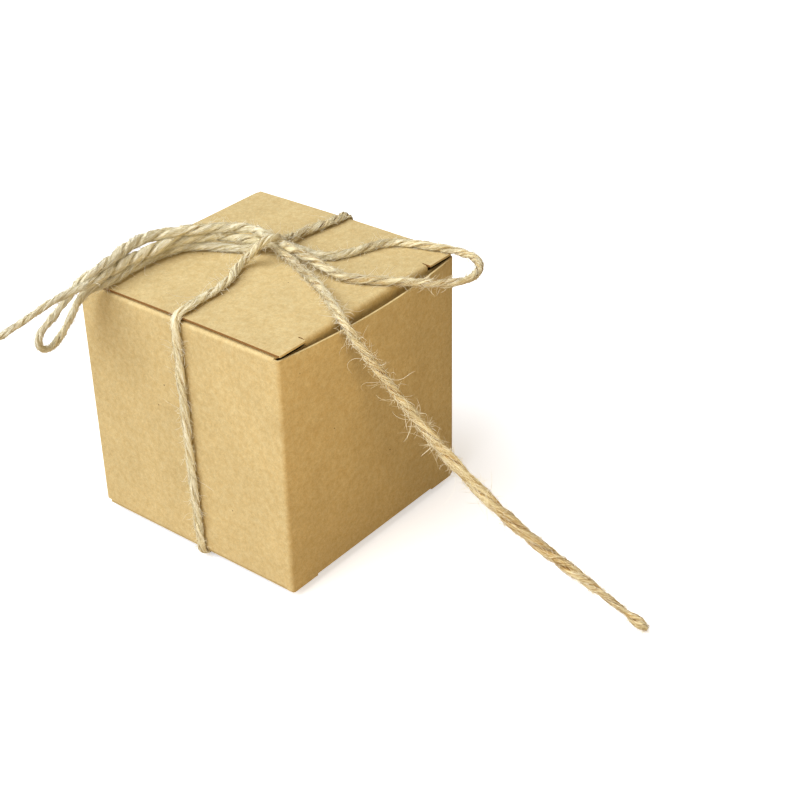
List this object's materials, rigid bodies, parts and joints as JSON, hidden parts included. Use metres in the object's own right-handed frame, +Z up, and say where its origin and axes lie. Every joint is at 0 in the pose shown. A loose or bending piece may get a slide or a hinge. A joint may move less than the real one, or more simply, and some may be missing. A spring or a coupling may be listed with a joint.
{
  "type": "favor box",
  "caption": "Small folded kraft cardboard box with a tuck-in lid, tied once round with jute twine in a bow.",
  "frame": {"origin": "under the middle of the carton and the twine round it, on the surface that the twine stands on", "axes": "+Z up; the lid is hinged on the back wall at +Y and its tuck flap goes in behind the front wall at -Y; +X to the right seen from the front"},
  "size_m": [0.0766, 0.1072, 0.0586],
  "materials": {
    "kraft_board": "unbleached kraft board, matt, with fine fibre flecks",
    "jute_twine": "two-ply natural jute twine, matt and hairy"
  },
  "bodies": {
    "root": {"carton": "kraft_board", "twine_wrap": "jute_twine", "twine_knot": "jute_twine", "bow_loop_left": "jute_twine", "bow_loop_right": "jute_twine", "tail_left": "jute_twine", "tail_right": "jute_twine"}
  },
  "joints": []
}
